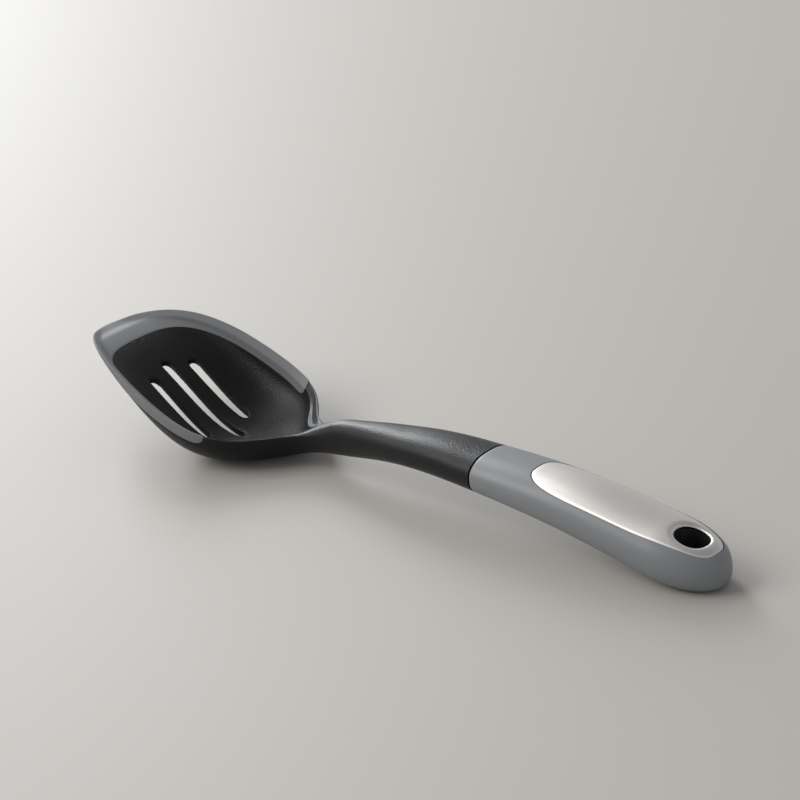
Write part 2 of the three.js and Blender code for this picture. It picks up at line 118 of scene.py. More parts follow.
def handle_line(values, root_slope):
    """A smooth line through the five sections of neck and grip, straight past the last one."""
    slopes = np.empty(len(values))
    slopes[0] = root_slope
    slopes[1:-1] = (values[2:] - values[:-2]) / (SECTION_AT[2:] - SECTION_AT[:-2])
    slopes[-1] = (values[-1] - values[-2]) / (SECTION_AT[-1] - SECTION_AT[-2])

    def height(x):
        i = np.clip(np.searchsorted(SECTION_AT, x) - 1, 0, len(values) - 2)
        span = SECTION_AT[i + 1] - SECTION_AT[i]
        t = (x - SECTION_AT[i]) / span
        start = (1 + 2 * t) * values[i] + t * span * slopes[i]
        end = (3 - 2 * t) * values[i + 1] - (1 - t) * span * slopes[i + 1]
        straight = values[-1] + slopes[-1] * (x - SECTION_AT[-1])
        return np.where(x > SECTION_AT[-1], straight, (1 - t) ** 2 * start + t**2 * end)

    return height


handle_top = handle_line(SECTION_UNDER + SECTION_THICK, RIM_SLOPE)
handle_under = handle_line(SECTION_UNDER, KEEL_SLOPE)
handle_half = handle_line(SECTION_WIDTH / 2, 0.0)


def neck_ease(x):
    """Lifts the root of the neck and lowers its crown, so that its top runs nearly straight."""
    root = smooth(x, *ROOT_RISE) * (1 - smooth(x, *ROOT_FADE))
    crown = smooth(x, *CROWN_RISE) * (1 - smooth(x, *CROWN_FADE))
    return ROOT_LIFT * root - CROWN_DROP * crown


rim_line = bezier((0, 38), (44, 53), (91, ROOT_TOP - RIM_SLOPE * 48 - 2.6), (HEAD_LENGTH, ROOT_TOP))
rim_line[:, 1] += neck_ease(rim_line[:, 0])
keel_line = np.vstack([
    bezier((0, 37), (43, 32), (54, 0), (LOWEST_AT, 0)),
    bezier((LOWEST_AT, 0), (113, 0), (119, 6.7), (HEAD_LENGTH, SECTION_UNDER[0])),
])
NECK_HALF = SECTION_WIDTH[0] / 2
plan_line = np.vstack([
    bezier((0, 0), (0, 12), (26.5, HALF_BOWL), (WIDEST_AT, HALF_BOWL)),
    bezier((WIDEST_AT, HALF_BOWL), (112, HALF_BOWL), (106, NECK_HALF), (133, NECK_HALF)),
])
steepness = np.gradient(plan_line[:, 1]) / np.maximum(np.gradient(plan_line[:, 0]), 1e-3)
plan_slope = np.stack([plan_line[:, 0], np.clip(steepness, -STEEPEST, STEEPEST)], axis=1)
SCOOP_HALF = HALF_BOWL - WALL
scoop_line = np.vstack([
    bezier((HOLLOW_TIP, 0), (HOLLOW_TIP, 12), (26.5, SCOOP_HALF), (WIDEST_AT, SCOOP_HALF)),
    bezier((WIDEST_AT, SCOOP_HALF), (111, SCOOP_HALF), (101, 2.5), (HOLLOW_END, 0)),
])
ramp_end = on(rim_line, HOLLOW_END) + RAMP_RISE
ramp_line = bezier((LOWEST_AT, WALL), (111, WALL), (118, 9), (HOLLOW_END, ramp_end))


def top(x):
    return np.where(x < HEAD_LENGTH, on(rim_line, x), handle_top(x) + neck_ease(x))


def under(x):
    return np.where(x < HEAD_LENGTH, on(keel_line, x), handle_under(x))


def half_width(x):
    return np.maximum(np.where(x < HEAD_LENGTH, on(plan_line, x), handle_half(x)), 1e-6)


def scoop_width(x):
    return np.where((x > HOLLOW_TIP) & (x < HOLLOW_END), on(scoop_line, x), 0.0)


def brink(x):
    """Height of the rim's inner edge: the rim falls towards the bowl, and less so near the neck."""
    return top(x) - RIM_FALL * (1 - smooth(x, *RIM_LEVEL_BETWEEN))


def scoop_floor(x):
    floor = np.where(x < LOWEST_AT, under(x) + WALL, on(ramp_line, x))
    return np.minimum(floor, brink(x) - BRINK_CLEAR)


def neckness(x):
    """0 in the bowl, 1 on the neck and handle."""
    return smooth(x, HEAD_LENGTH - NECK_BLEND, HEAD_LENGTH)


def waist(x):
    return top(x) - neckness(x) * (top(x) - under(x)) / 2


def fullness(x, y):
    """How far a section reaches from its waist to its top or underside, at y across it."""
    power = BOWL_POWER + (HANDLE_POWER - BOWL_POWER) * neckness(x)
    return np.clip(1 - (np.abs(y) / half_width(x)) ** power, 0, 1) ** (1 / power)


def lower(x, y):
    """Height of the body's lower skin."""
    return waist(x) - (waist(x) - under(x)) * fullness(x, y)


def upper(x, y):
    """Height of the body's upper skin: the neck's top, or the falling rim and the scoop inside it."""
    brow = waist(x) + (top(x) - waist(x)) * fullness(x, y)
    inward = (half_width(x) - np.abs(y)) / np.hypot(1, on(plan_slope, x))
    fallen = brow - (top(x) - brink(x)) * np.clip(inward / WALL, 0, 1)
    brow = np.minimum(brow, np.maximum(fallen, lower(x, y) + THIN_TIP))
    wide = scoop_width(x)
    share = np.clip(np.abs(y) / np.maximum(wide, 1e-6), 0, 1)
    scoop = brink(x) - (brink(x) - scoop_floor(x)) * (1 - share**BOWL_POWER) ** (1 / BOWL_POWER)
    return np.where(np.abs(y) < wide, np.minimum(brow, scoop), brow)


def lengths(points):
    """Length along a line of points, from its first point to each."""
    steps = np.linalg.norm(np.diff(points, axis=0), axis=1)
    return np.concatenate([[0], np.cumsum(steps)])


def at(points, run, places):
    """Points of a line at the given lengths along it."""
    return np.stack([np.interp(places, run, across) for across in points.T], axis=-1)


def softened(points, step, softness, loop):
    """A line in even steps with its corners rounded off."""
    run = lengths(points)
    count = max(int(run[-1] / step), 8)
    step = run[-1] / count
    even = at(points, run, np.linspace(0, run[-1], count + 1))
    reach = min(int(4 * softness / step), count - 1)
    kernel = np.exp(-0.5 * (np.arange(-reach, reach + 1) * step / softness) ** 2)
    kernel /= kernel.sum()
    if loop:
        even = even[:-1]
        before, after = even[-reach:], even[:reach]
    else:
        before = 2 * even[0] - even[reach:0:-1]
        after = 2 * even[-1] - even[-2:-reach - 2:-1]
    padded = np.vstack([before, even, after])
    return np.stack([np.convolve(across, kernel, mode="valid") for across in padded.T], axis=1)


# The silicone edge covers the rim this deep, outside and inside, as far as its rounded ends
EDGE_END_AT = 92.0
EDGE_END_ROUND = 7.0
EDGE_END_POWER = 2.2
EDGE_OUTSIDE = (8.5, 5.0)
EDGE_INSIDE = (4.9, 7.4)
TONGUE_INSET = 0.95
TONGUE_DROP = 3.6
TONGUE_COVER = 0.8
TONGUE_BACK = 4.0
TONGUE_BACK_BETWEEN = (20, 40)
TONGUE_FADE = (0.6, 1.6)


def edge_depth(x, depths):
    """How far the silicone reaches down from the rim at x."""
    past = np.clip((x - EDGE_END_AT + EDGE_END_ROUND) / EDGE_END_ROUND, 0, 1)
    rounding = (1 - past**EDGE_END_POWER) ** (1 / EDGE_END_POWER)
    return np.interp(x, [0, EDGE_END_AT], depths) * rounding


# Lines along the floor of the bowl follow the slots' sides and round ends
SLOT_RADIUS = 2.15
SLOT_PITCH = 11.0
SLOT_LIP = 0.5
SLOT_LEAN = 0.4
SLOT_TAPERS = (0.7, 0.25)
SLOTS = [(0.0, 35.0, 80.5), (SLOT_PITCH, 39.5, 72.0), (-SLOT_PITCH, 39.5, 72.0)]
SLOT_TURNS = np.radians([-90, -60, -30, 0, 30, 60, 90])
SLOT_ACROSS = SLOT_RADIUS * np.sin(SLOT_TURNS)
SLOT_ALONG = SLOT_RADIUS * (1 - np.cos(SLOT_TURNS))
FLOOR_HALF = 18.0
FLOOR_LINES = np.concatenate([
    SLOT_ACROSS[3:],
    [3.8, 5.5, 7.2],
    SLOT_PITCH + SLOT_ACROSS,
    [15.4, FLOOR_HALF],
])
FLOOR_STEPS = len(FLOOR_LINES) - 1
FLOOR_SHARE = 0.65
GROOVE_SHARE = 0.35
GROOVE_FROM = 100
WALL_STEPS = 18
WALL_EASE = 1.5
HALF_STEPS = 2 * (FLOOR_STEPS + WALL_STEPS)
SECTION_TURNS = 240
SECTION_STEP = 0.1
RIM_SOFTNESS = 0.55


def body_section(x):
    """A closed section of the body at x, from the keel up one side and down the other."""
    turns = np.sin(np.linspace(0, np.pi / 2, SECTION_TURNS)) ** (2 / BOWL_POWER)
    wide, scoop = float(half_width(x)), float(scoop_width(x))
    out = wide * turns
    back = np.unique(np.concatenate([wide * turns, scoop * turns]))[::-1]
    half = np.vstack([
        np.stack([out, lower(x, out)], axis=1),
        np.stack([back, upper(x, back)], axis=1)[1:],
    ])
    loop = np.vstack([half, (half * (-1, 1))[::-1][1:]])
    soft = softened(loop, SECTION_STEP, RIM_SOFTNESS, True)
    soft = soft[: len(soft) // 2 + 1]
    run = lengths(soft)
    side = int(np.argmax(soft[:, 0]))
    inner, inner_run = soft[side:][::-1, 0], run[side:][::-1]

    floor_out = min(FLOOR_HALF, FLOOR_SHARE * wide)
    groove = GROOVE_SHARE * wide * float(smooth(x, GROOVE_FROM, HOLLOW_END))
    floor_in = max(min(FLOOR_HALF, FLOOR_SHARE * scoop), groove, 0.02)
    lines = FLOOR_LINES / FLOOR_HALF
    below = np.interp(floor_out * lines, soft[: side + 1, 0], run[: side + 1])
    above = np.interp(floor_in * lines, inner, inner_run)[::-1]
    crest = np.interp((wide + max(scoop, floor_in)) / 2, inner, inner_run)
    ease = 1 - (1 - np.linspace(0, 1, WALL_STEPS + 1)) ** WALL_EASE
    outer_wall = below[-1] + (crest - below[-1]) * ease
    inner_wall = above[0] - (above[0] - crest) * ease[::-1]
    places = np.concatenate([below, outer_wall[1:], inner_wall[1:], above[1:]])
    points = at(soft, run, places)

    tangent = np.gradient(points, axis=0)
    normal = np.stack([tangent[:, 1], -tangent[:, 0]], axis=1)
    normal /= np.maximum(np.linalg.norm(normal, axis=1), 1e-9)[:, None]
    outside = np.arange(len(points)) <= FLOOR_STEPS + WALL_STEPS
    depth = np.where(outside, edge_depth(x, EDGE_OUTSIDE), edge_depth(x, EDGE_INSIDE))
    covered = np.minimum(points[:, 1] - top(x) + depth, EDGE_END_AT - x)
    under_edge = smooth(covered, *TONGUE_FADE)
    points -= normal * (TONGUE_INSET * under_edge)[:, None]
    points[:, 1] = np.minimum(points[:, 1], top(x) - TONGUE_DROP * under_edge)
    tongue_half = wide - np.interp(x, TONGUE_BACK_BETWEEN, [TONGUE_BACK, 0])
    drawn_in = np.clip(points[:, 0], -tongue_half, tongue_half)
    points[:, 0] += (drawn_in - points[:, 0]) * under_edge
    skins = lower(x, points[:, 0]), upper(x, points[:, 0])
    mid_wall = (skins[0] + skins[1]) / 2
    room = np.maximum((skins[1] - skins[0]) / 2 - TONGUE_COVER, 0)
    inside = np.clip(points[:, 1], mid_wall - room, mid_wall + room)
    points[:, 1] += (inside - points[:, 1]) * under_edge
    points[[0, -1], 0] = 0
    return np.vstack([points, (points * (-1, 1))[-2:0:-1], points[:1]])


BODY_START = 10.5
BOWL_STEP = 1.25
NECK_STEP = 2.0
JOINT_ROWS = np.array([0.9, 0.35, 0.1, 0.0])
JOINT_CLEAR = 1.2
body_rows = np.concatenate([
    np.arange(BODY_START, HOLLOW_END, BOWL_STEP),
    np.arange(HOLLOW_END, JOINT_AT - JOINT_CLEAR, NECK_STEP),
    JOINT_AT - JOINT_ROWS,
])
body_points = np.zeros((len(body_rows), 2 * HALF_STEPS + 1, 3))
for i, x in enumerate(body_rows):
    body_points[i, :, 0] = x
    body_points[i, :, 1:] = body_section(x)

# Between these two places the floor of the bowl is drawn round the slots
FLOOR_BETWEEN = (22.0, 94.0)
EVEN_ROUNDS = 400


def slot_rows(start, end):
    """First and last row of a slot."""
    first = int(np.argmin(np.abs(body_rows - start - SLOT_RADIUS / 2)))
    last = int(np.argmin(np.abs(body_rows - end + SLOT_RADIUS / 2)))
    return first, last


def slot_lines(y):
    """Floor lines on a slot's sides and between them, counted from the middle of the bowl."""
    middle = int(np.argmin(np.abs(FLOOR_LINES - abs(y))))
    return np.arange(-3, 4) + int(math.copysign(middle, y))


def draw_slots(columns, surface, lean, taper):
    """Draws the floor's lines round the slots, evens out the rest and lays them on the surface."""
    start_row, end_row = np.searchsorted(body_rows, FLOOR_BETWEEN)
    plan = body_points[start_row:end_row, columns, :2].copy()
    fixed = np.zeros(plan.shape[:2], bool)
    fixed[[0, -1], :] = True
    fixed[:, [0, -1]] = True
    for y, start, end in SLOTS:
        first, last = (row - start_row for row in slot_rows(start, end))
        lines = slot_lines(y) + FLOOR_STEPS
        y += lean * np.sign(y)
        plan[first, lines] = np.stack([start + SLOT_ALONG, y + SLOT_ACROSS], axis=1)
        narrow = 1 - taper / SLOT_RADIUS
        plan[last, lines] = np.stack([end - SLOT_ALONG * narrow, y + SLOT_ACROSS * narrow], axis=1)
        fixed[[first, last], lines[0]:lines[-1] + 1] = True
        sides = np.linspace(start + SLOT_RADIUS, end - SLOT_RADIUS * narrow, last - first + 1)
        half_slot = np.linspace(SLOT_RADIUS, SLOT_RADIUS * narrow, last - first + 1)
        for line, way in ((lines[0], -1), (lines[-1], 1)):
            plan[first:last + 1, line, 0] = sides
            plan[first:last + 1, line, 1] = y + way * half_slot
            fixed[first:last + 1, line] = True
    for _ in range(EVEN_ROUNDS):
        even = plan.copy()
        even[1:-1, 1:-1] = (plan[:-2, 1:-1] + plan[2:, 1:-1] + plan[1:-1, :-2] + plan[1:-1, 2:]) / 4
        plan = np.where(fixed[..., None], plan, even)
    body_points[start_row:end_row, columns, :2] = plan
    body_points[start_row:end_row, columns, 2] = surface(plan[..., 0], plan[..., 1])


floor_count = np.arange(-FLOOR_STEPS, FLOOR_STEPS + 1)
draw_slots(floor_count % (2 * HALF_STEPS), lower, SLOT_LEAN, SLOT_TAPERS[0])
draw_slots(HALF_STEPS - floor_count, upper, 0, SLOT_TAPERS[1])
body_points[:, -1] = body_points[:, 0]

# The tang leaves the flat end of the neck, and runs on inside the handle
TANG_LENGTH = 60.0
TANG_HALVES = ((6.5, 3.0), (5.0, 2.5))
TANG_POWER = 4.0
TANG_ROWS = 7
SHOULDER_SHARE = 0.04


def handle_middle(x):
    return (handle_top(x) + handle_under(x)) / 2


end_face = body_points[-1, :, 1:] - (0, handle_middle(JOINT_AT))
around = np.arctan2(end_face[:, 1] / np.ptp(end_face[:, 1]), end_face[:, 0] / np.ptp(end_face[:, 0]))
tang_rows = []
for x, (half_wide, half_thick) in zip((JOINT_AT, JOINT_AT + TANG_LENGTH), TANG_HALVES):
    turn_y, turn_z = np.cos(around), np.sin(around)
    across = half_wide * np.sign(turn_y) * np.abs(turn_y) ** (2 / TANG_POWER)
    height = half_thick * np.sign(turn_z) * np.abs(turn_z) ** (2 / TANG_POWER)
    tang_rows.append(np.stack([np.full_like(across, x), across, handle_middle(x) + height], axis=1))
shoulder = body_points[-1] + SHOULDER_SHARE * (tang_rows[0] - body_points[-1])
tang_part = [tang_rows[0] + along * (tang_rows[1] - tang_rows[0]) for along in np.linspace(0, 1, TANG_ROWS)]
body_points = np.concatenate([body_points, [shoulder], tang_part])
body_points[..., 2] = np.maximum(body_points[..., 2], REST_FLAT)

# Points this close are welded into one, and edges shorter than this are taken out
WELD_WITHIN = 0.002
TOO_SMALL = 0.005


def sheet(name, points):
    """A grid with its points drawn onto a form, in rows and columns."""
    rows, columns = points.shape[:2]
    bpy.ops.object.select_all(action="DESELECT")
    bpy.ops.mesh.primitive_grid_add(x_subdivisions=columns - 1, y_subdivisions=rows - 1)
    piece = bpy.context.object
    piece.name = piece.data.name = name
    piece.data.vertices.foreach_set("co", ((points + TIP) * MM).ravel())
    piece.data.update()
    return piece


def select(piece, kind, chosen):
    """Selects a piece's faces or edges in edit mode, from a list of true and false."""
    bpy.ops.object.select_all(action="DESELECT")
    bpy.context.view_layer.objects.active = piece
    piece.select_set(True)
    bpy.ops.object.mode_set(mode="EDIT")
    bpy.ops.mesh.select_mode(type=kind)
    bpy.ops.mesh.select_all(action="DESELECT")
    bpy.ops.object.mode_set(mode="OBJECT")
    parts = piece.data.polygons if kind == "FACE" else piece.data.edges
    parts.foreach_set("select", np.asarray(chosen, bool))
    bpy.ops.object.mode_set(mode="EDIT")


def done():
    """Leaves edit mode."""
    bpy.ops.object.mode_set(mode="OBJECT")


def weld(piece):
    """Joins the points that meet, and turns the faces outwards."""
    select(piece, "FACE", np.ones(len(piece.data.polygons)))
    bpy.ops.mesh.remove_doubles(threshold=WELD_WITHIN * MM)
    bpy.ops.mesh.normals_make_consistent(inside=False)
    done()


def clean(piece):
    """Takes out edges and faces too small to see."""
    select(piece, "FACE", np.ones(len(piece.data.polygons)))
    bpy.ops.mesh.dissolve_degenerate(threshold=TOO_SMALL * MM)
    done()


def places(piece):
    """A piece's points, in millimetres from the tip."""
    flat = np.empty(3 * len(piece.data.vertices))
    piece.data.vertices.foreach_get("co", flat)
    return flat.reshape(-1, 3) / MM - TIP


def edge_ends(piece):
    """The two points of each edge."""
    flat = np.empty(2 * len(piece.data.edges), int)
    piece.data.edges.foreach_get("vertices", flat)
    return flat.reshape(-1, 2)


def open_edges(piece):
    """Edges with a face on one side only."""
    used = np.empty(len(piece.data.loops), int)
    piece.data.loops.foreach_get("edge_index", used)
    return np.bincount(used, minlength=len(piece.data.edges)) == 1


def finish_with(piece, kind, **settings):
    """Adds a modifier with its settings and applies it."""
    bpy.context.view_layer.objects.active = piece
    modifier = piece.modifiers.new(kind.lower(), kind)
    for setting, value in settings.items():
        setattr(modifier, setting, value)
    bpy.ops.object.modifier_apply(modifier=modifier.name)


def shade(piece, angle=None):
    """Shades a piece smooth, all over or only below an angle in degrees."""
    bpy.ops.object.select_all(action="DESELECT")
    piece.select_set(True)
    bpy.context.view_layer.objects.active = piece
    if angle is None:
        bpy.ops.object.shade_smooth()
    else:
        bpy.ops.object.shade_smooth_by_angle(angle=math.radians(angle))


body = sheet("spoon_body_moulding", body_points)
columns = 2 * HALF_STEPS
slot_faces = np.zeros(len(body.data.polygons), bool)
for y, start, end in SLOTS:
    first, last = slot_rows(start, end)
    for line in slot_lines(y)[:-1]:
        for column in (line % columns, HALF_STEPS - line - 1):
            slot_faces[first * columns + column:last * columns + column:columns] = True
select(body, "FACE", slot_faces)
bpy.ops.mesh.delete(type="FACE")
done()
weld(body)

# Slot walls join the bowl's two skins, and their lips are rounded
SLOT_MARGIN = 0.9
slot_points = np.zeros(len(body.data.vertices), bool)
for y, start, end in SLOTS:
    points, ends = places(body), edge_ends(body)
    beside = np.abs(points[:, 1] - y) < SLOT_RADIUS + SLOT_MARGIN
    along = (points[:, 0] > start - SLOT_MARGIN) & (points[:, 0] < end + SLOT_MARGIN)
    lips = open_edges(body) & (beside & along)[ends].all(axis=1)
    slot_points[ends[lips].ravel()] = True
    select(body, "EDGE", lips)
    bpy.ops.mesh.bridge_edge_loops()
    done()
points, ends = places(body), edge_ends(body)
lips = slot_points[ends].all(axis=1) & (np.abs(np.diff(points[ends, 2], axis=1)[:, 0]) < WALL / 2)
select(body, "EDGE", lips)
bpy.ops.mesh.bevel(offset=SLOT_LIP * MM, segments=2)
done()
for at_tip in (True, False):
    ahead = places(body)[edge_ends(body)[:, 0], 0] < BODY_START + BOWL_STEP / 2
    select(body, "EDGE", open_edges(body) & (ahead == at_tip))
    bpy.ops.mesh.edge_face_add()
    done()
finish_with(body, "SUBSURF", levels=1, render_levels=1)
clean(body)
shade(body)


def moulded_grain():
    """Fine pebble of a moulded surface, and slow clouding over it."""
    group = bpy.data.node_groups.new("moulded_grain", "ShaderNodeTree")
    for name in ("Grain Scale", "Cloud Scale"):
        group.interface.new_socket(name, in_out="INPUT", socket_type="NodeSocketFloat")
    for name in ("Height", "Clouding"):
        group.interface.new_socket(name, in_out="OUTPUT", socket_type="NodeSocketFloat")
    nodes, link = group.nodes, group.links.new
    given, out = nodes.new("NodeGroupInput"), nodes.new("NodeGroupOutput")
    place = nodes.new("ShaderNodeTexCoord")
    grain = nodes.new("ShaderNodeTexNoise")
    grain.inputs["Detail"].default_value = 3
    grain.inputs["Roughness"].default_value = 0.55
    cloud = nodes.new("ShaderNodeTexNoise")
    cloud.inputs["Detail"].default_value = 4
    cloud.inputs["Roughness"].default_value = 0.6
    for noise, scale in ((grain, "Grain Scale"), (cloud, "Cloud Scale")):
        link(place.outputs["Object"], noise.inputs["Vector"])
        link(given.outputs[scale], noise.inputs["Scale"])
    link(grain.outputs["Fac"], out.inputs["Height"])
    link(cloud.outputs["Fac"], out.inputs["Clouding"])
    return group


grain_group = moulded_grain()


def moulded(name, dark, light, rough, grain, cloud, depth, specular=0.5):
    """A moulded finish: colour and roughness vary with the clouding, and the grain stands up by depth."""
    material = bpy.data.materials.new(name)
    material.use_nodes = True
    nodes, link = material.node_tree.nodes, material.node_tree.links.new
    surface = nodes["Principled BSDF"]
    surface.inputs["Specular IOR Level"].default_value = specular
    pattern = nodes.new("ShaderNodeGroup")
    pattern.node_tree = grain_group
    pattern.inputs["Grain Scale"].default_value = 1 / (grain * MM)
    pattern.inputs["Cloud Scale"].default_value = 1 / (cloud * MM)
    tint = nodes.new("ShaderNodeMix")
    tint.data_type = "RGBA"
    tint.inputs["A"].default_value = (*dark, 1)
    tint.inputs["B"].default_value = (*light, 1)
    gloss = nodes.new("ShaderNodeMapRange")
    gloss.inputs["From Min"].default_value = 0.3
    gloss.inputs["From Max"].default_value = 0.7
    gloss.inputs["To Min"].default_value = rough[0]
    gloss.inputs["To Max"].default_value = rough[1]
    bump = nodes.new("ShaderNodeBump")
    bump.inputs["Strength"].default_value = 1
    bump.inputs["Distance"].default_value = depth * MM
    link(pattern.outputs["Clouding"], tint.inputs["Factor"])
    link(tint.outputs["Result"], surface.inputs["Base Color"])
    link(pattern.outputs["Clouding"], gloss.inputs["Value"])
    link(gloss.outputs["Result"], surface.inputs["Roughness"])
    link(pattern.outputs["Height"], bump.inputs["Height"])
    link(bump.outputs["Normal"], surface.inputs["Normal"])
    return material


def fit(piece, node, material):
    """Gives a piece its finish and its place on the spoon."""
    piece.data.materials.clear()
    piece.data.materials.append(material)
    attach(piece, "root")
    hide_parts(node)


black_nylon = moulded("black_nylon", dark=(0.006, 0.006, 0.0068), light=(0.0095, 0.0095, 0.0105),
                      rough=(0.31, 0.4), grain=0.7, cloud=14, depth=0.2, specular=0.22)
fit(body, "spoon_body", black_nylon)

# Silicone edge
# A soft grey silicone scraper, moulded over the front of the rim in one piece: round the tip and along
# both sides, deep inside the tip, with rounded ends. It grips a thin tongue of the nylon rim.
EDGE_ROWS = 171
EDGE_ROW_EASE = 1.35
EDGE_COLUMNS = 41
EDGE_STEP = 0.05
EDGE_SOFTNESS = 0.4
EDGE_PROUD = 0.15
EDGE_PROUD_RISE = (-0.1, 0.5, 0.85, 1)
EDGE_FILM = 0.17
EDGE_WALL = 0.9
EDGE_WALL_FADE = (0.7, 1.7)
EDGE_CREST_RATE = 0.3
RIM_COUNT = 6001
BORDER_COUNT = 4001
ACROSS_COUNT = 160


def share_of(line, share):
    """A point of a line for each share of its length."""
    run = lengths(line)
    return at(line, run, share * run[-1])


edge_x = np.linspace(0, EDGE_END_AT, RIM_COUNT)
fine_x = np.concatenate([plan_line[plan_line[:, 0] < EDGE_END_AT, 0], [EDGE_END_AT]])
rim_path = np.stack([fine_x, half_width(fine_x)], axis=1)


def edge_border(wide, high, low, depths):
    """Where the silicone stops on the bowl's wall, from the tip to its end, seen from above."""
    deep_enough = top(edge_x) - low(edge_x) >= edge_depth(edge_x, depths)
    start = edge_x[np.flatnonzero(deep_enough & (wide(edge_x) > 1e-3))[0]]
    ahead = start + (EDGE_END_AT - start) * np.linspace(0, 1, BORDER_COUNT) ** 2
    depth = np.maximum(edge_depth(ahead, depths) - top(ahead) + high(ahead), 0)
    share = np.clip(depth / (high(ahead) - low(ahead)), 0, 1)
    across = wide(ahead) * (1 - share**BOWL_POWER) ** (1 / BOWL_POWER)
    across[0] = 0
    return np.stack([ahead, across], axis=1)


outer_border = edge_border(half_width, top, under, EDGE_OUTSIDE)
inner_border = edge_border(scoop_width, brink, scoop_floor, EDGE_INSIDE)
spread = np.linspace(-1, 1, EDGE_ROWS)
edge_share = np.sign(spread) * (1 - (1 - np.abs(spread)) ** EDGE_ROW_EASE)
column_share = np.linspace(0, 1, EDGE_COLUMNS)
column_share = 0.5 * column_share + 0.25 * (1 - np.cos(np.pi * column_share))
fine = np.linspace(0, 1, ACROSS_COUNT)[:, None]
edge_points = np.zeros((EDGE_ROWS, EDGE_COLUMNS, 3))
edge_thick = np.zeros((EDGE_ROWS, EDGE_COLUMNS))
for i, share in enumerate(edge_share):
    outer, rim, inner = (share_of(line, abs(share)) for line in (outer_border, rim_path, inner_border))
    up = outer + (rim - outer) * fine
    over = rim + (inner - rim) * fine
    line = np.vstack([
        np.column_stack([up, lower(up[:, 0], up[:, 1])]),
        np.column_stack([over, upper(over[:, 0], over[:, 1])]),
    ])
    soft = softened(line, EDGE_STEP, EDGE_SOFTNESS, False)
    run = lengths(soft)
    row = at(soft, run, column_share * run[-1])
    crest = int(np.argmax(row[:, 2]))
    outside = np.arange(EDGE_COLUMNS) <= crest
    depth = np.where(outside, edge_depth(row[:, 0], EDGE_OUTSIDE), edge_depth(row[:, 0], EDGE_INSIDE))
    covered = np.minimum(row[:, 2] - top(row[:, 0]) + depth, EDGE_END_AT - row[:, 0])
    from_crest = np.abs(column_share * run[-1] - column_share[crest] * run[-1])
    thick = EDGE_FILM + (EDGE_WALL - EDGE_FILM) * smooth(covered, *EDGE_WALL_FADE)
    edge_thick[i] = np.minimum(thick, EDGE_FILM + EDGE_CREST_RATE * from_crest)
    row[:, 1] *= 1 if share >= 0 else -1
    edge_points[i] = row
along, across = np.gradient(edge_points, axis=0), np.gradient(edge_points, axis=1)
outward = np.cross(along, across)
outward /= np.linalg.norm(outward, axis=2, keepdims=True)
outward *= np.sign(outward[EDGE_ROWS // 2, EDGE_COLUMNS // 2, 2])
from_side = np.minimum(np.arange(EDGE_COLUMNS), np.arange(EDGE_COLUMNS)[::-1])
from_end = np.minimum(np.arange(EDGE_ROWS), np.arange(EDGE_ROWS)[::-1])
rise_at = np.arange(len(EDGE_PROUD_RISE))
proud = np.minimum(np.interp(from_side, rise_at, EDGE_PROUD_RISE)[None, :],
                   np.interp(from_end, rise_at, EDGE_PROUD_RISE)[:, None])
edge_points += outward * (EDGE_PROUD * proud)[..., None]
edge = sheet("silicone_edge_band", edge_points)
select(edge, "FACE", np.ones(len(edge.data.polygons)))
bpy.ops.mesh.normals_make_consistent(inside=False)
done()


def face_up(piece, face):
    """Turns a piece's faces over if the given one looks down."""
    if face.normal.z < 0:
        select(piece, "FACE", np.ones(len(piece.data.polygons)))
        bpy.ops.mesh.flip_normals()
        done()


face_up(edge, edge.data.polygons[(EDGE_ROWS // 2) * (EDGE_COLUMNS - 1) + EDGE_COLUMNS // 2])
wall = edge.vertex_groups.new(name="wall")
for index, thick in enumerate((edge_thick / EDGE_WALL).ravel()):
    wall.add([index], float(thick), "REPLACE")
finish_with(edge, "SOLIDIFY", thickness=EDGE_WALL * MM, offset=-1, vertex_group="wall")
finish_with(edge, "SUBSURF", levels=1, render_levels=1)
shade(edge)
grey_silicone = moulded("grey_silicone", dark=(0.182, 0.186, 0.192), light=(0.212, 0.216, 0.222),
                        rough=(0.6, 0.72), grain=0.5, cloud=11, depth=0.02, specular=0.2)
fit(edge, "silicone_edge", grey_silicone)

# Handle core
# The rigid core inside the grip, black plastic moulded over the tang. Only the wall of the hang hole
# shows, so the solid keeps its shape and gets its finish here.
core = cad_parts["handle_core"]
core.data.materials.clear()
black_core = moulded("black_core", dark=(0.011, 0.011, 0.0115), light=(0.018, 0.018, 0.0185),
                     rough=(0.4, 0.55), grain=0.4, cloud=8, depth=0.02)
core.data.materials.append(black_core)

# Grip sleeve
# Soft grey rubber moulded round the core, from the joint line to the rounded end, with an oval window
# in its top for the plate and the hang hole right through.
GRIP_WALL = 3.0
GRIP_SEAT = 0.3
GRIP_LIP = 0.5
GRIP_CREASE = 40
JOINT_GAP = 0.6
GRIP_START = JOINT_AT + JOINT_GAP
CUT_AHEAD = 2
GRIP_ROWS = 60
GRIP_END_ROWS = 40
GRIP_COLUMNS = 129
END_TOP_POWER = 0.5
END_UNDER_POWER = 0.68
HOLE_MIDDLE = LENGTH - 14.4
PLATE_MIDDLE = LENGTH - 43.6
PLATE_LENGTH = 80.6
PLATE_WIDTH = 22.6
PLATE_POWERS = (3.6, 2.85)
PLATE_GAP = 0.3
OVAL_COUNT = 4001
WINDOW_COUNT = 200
EYE_COUNT = 96
EYE_MARGIN = 2.5
EYE_FLOOR = -20
CUTTER_HEIGHT = 80
HOLE_LENGTH = 13.0
HOLE_WIDTH = 11.8
HOLE_POWER = 2.2
HOLE_POWERS = (HOLE_POWER, HOLE_POWER)


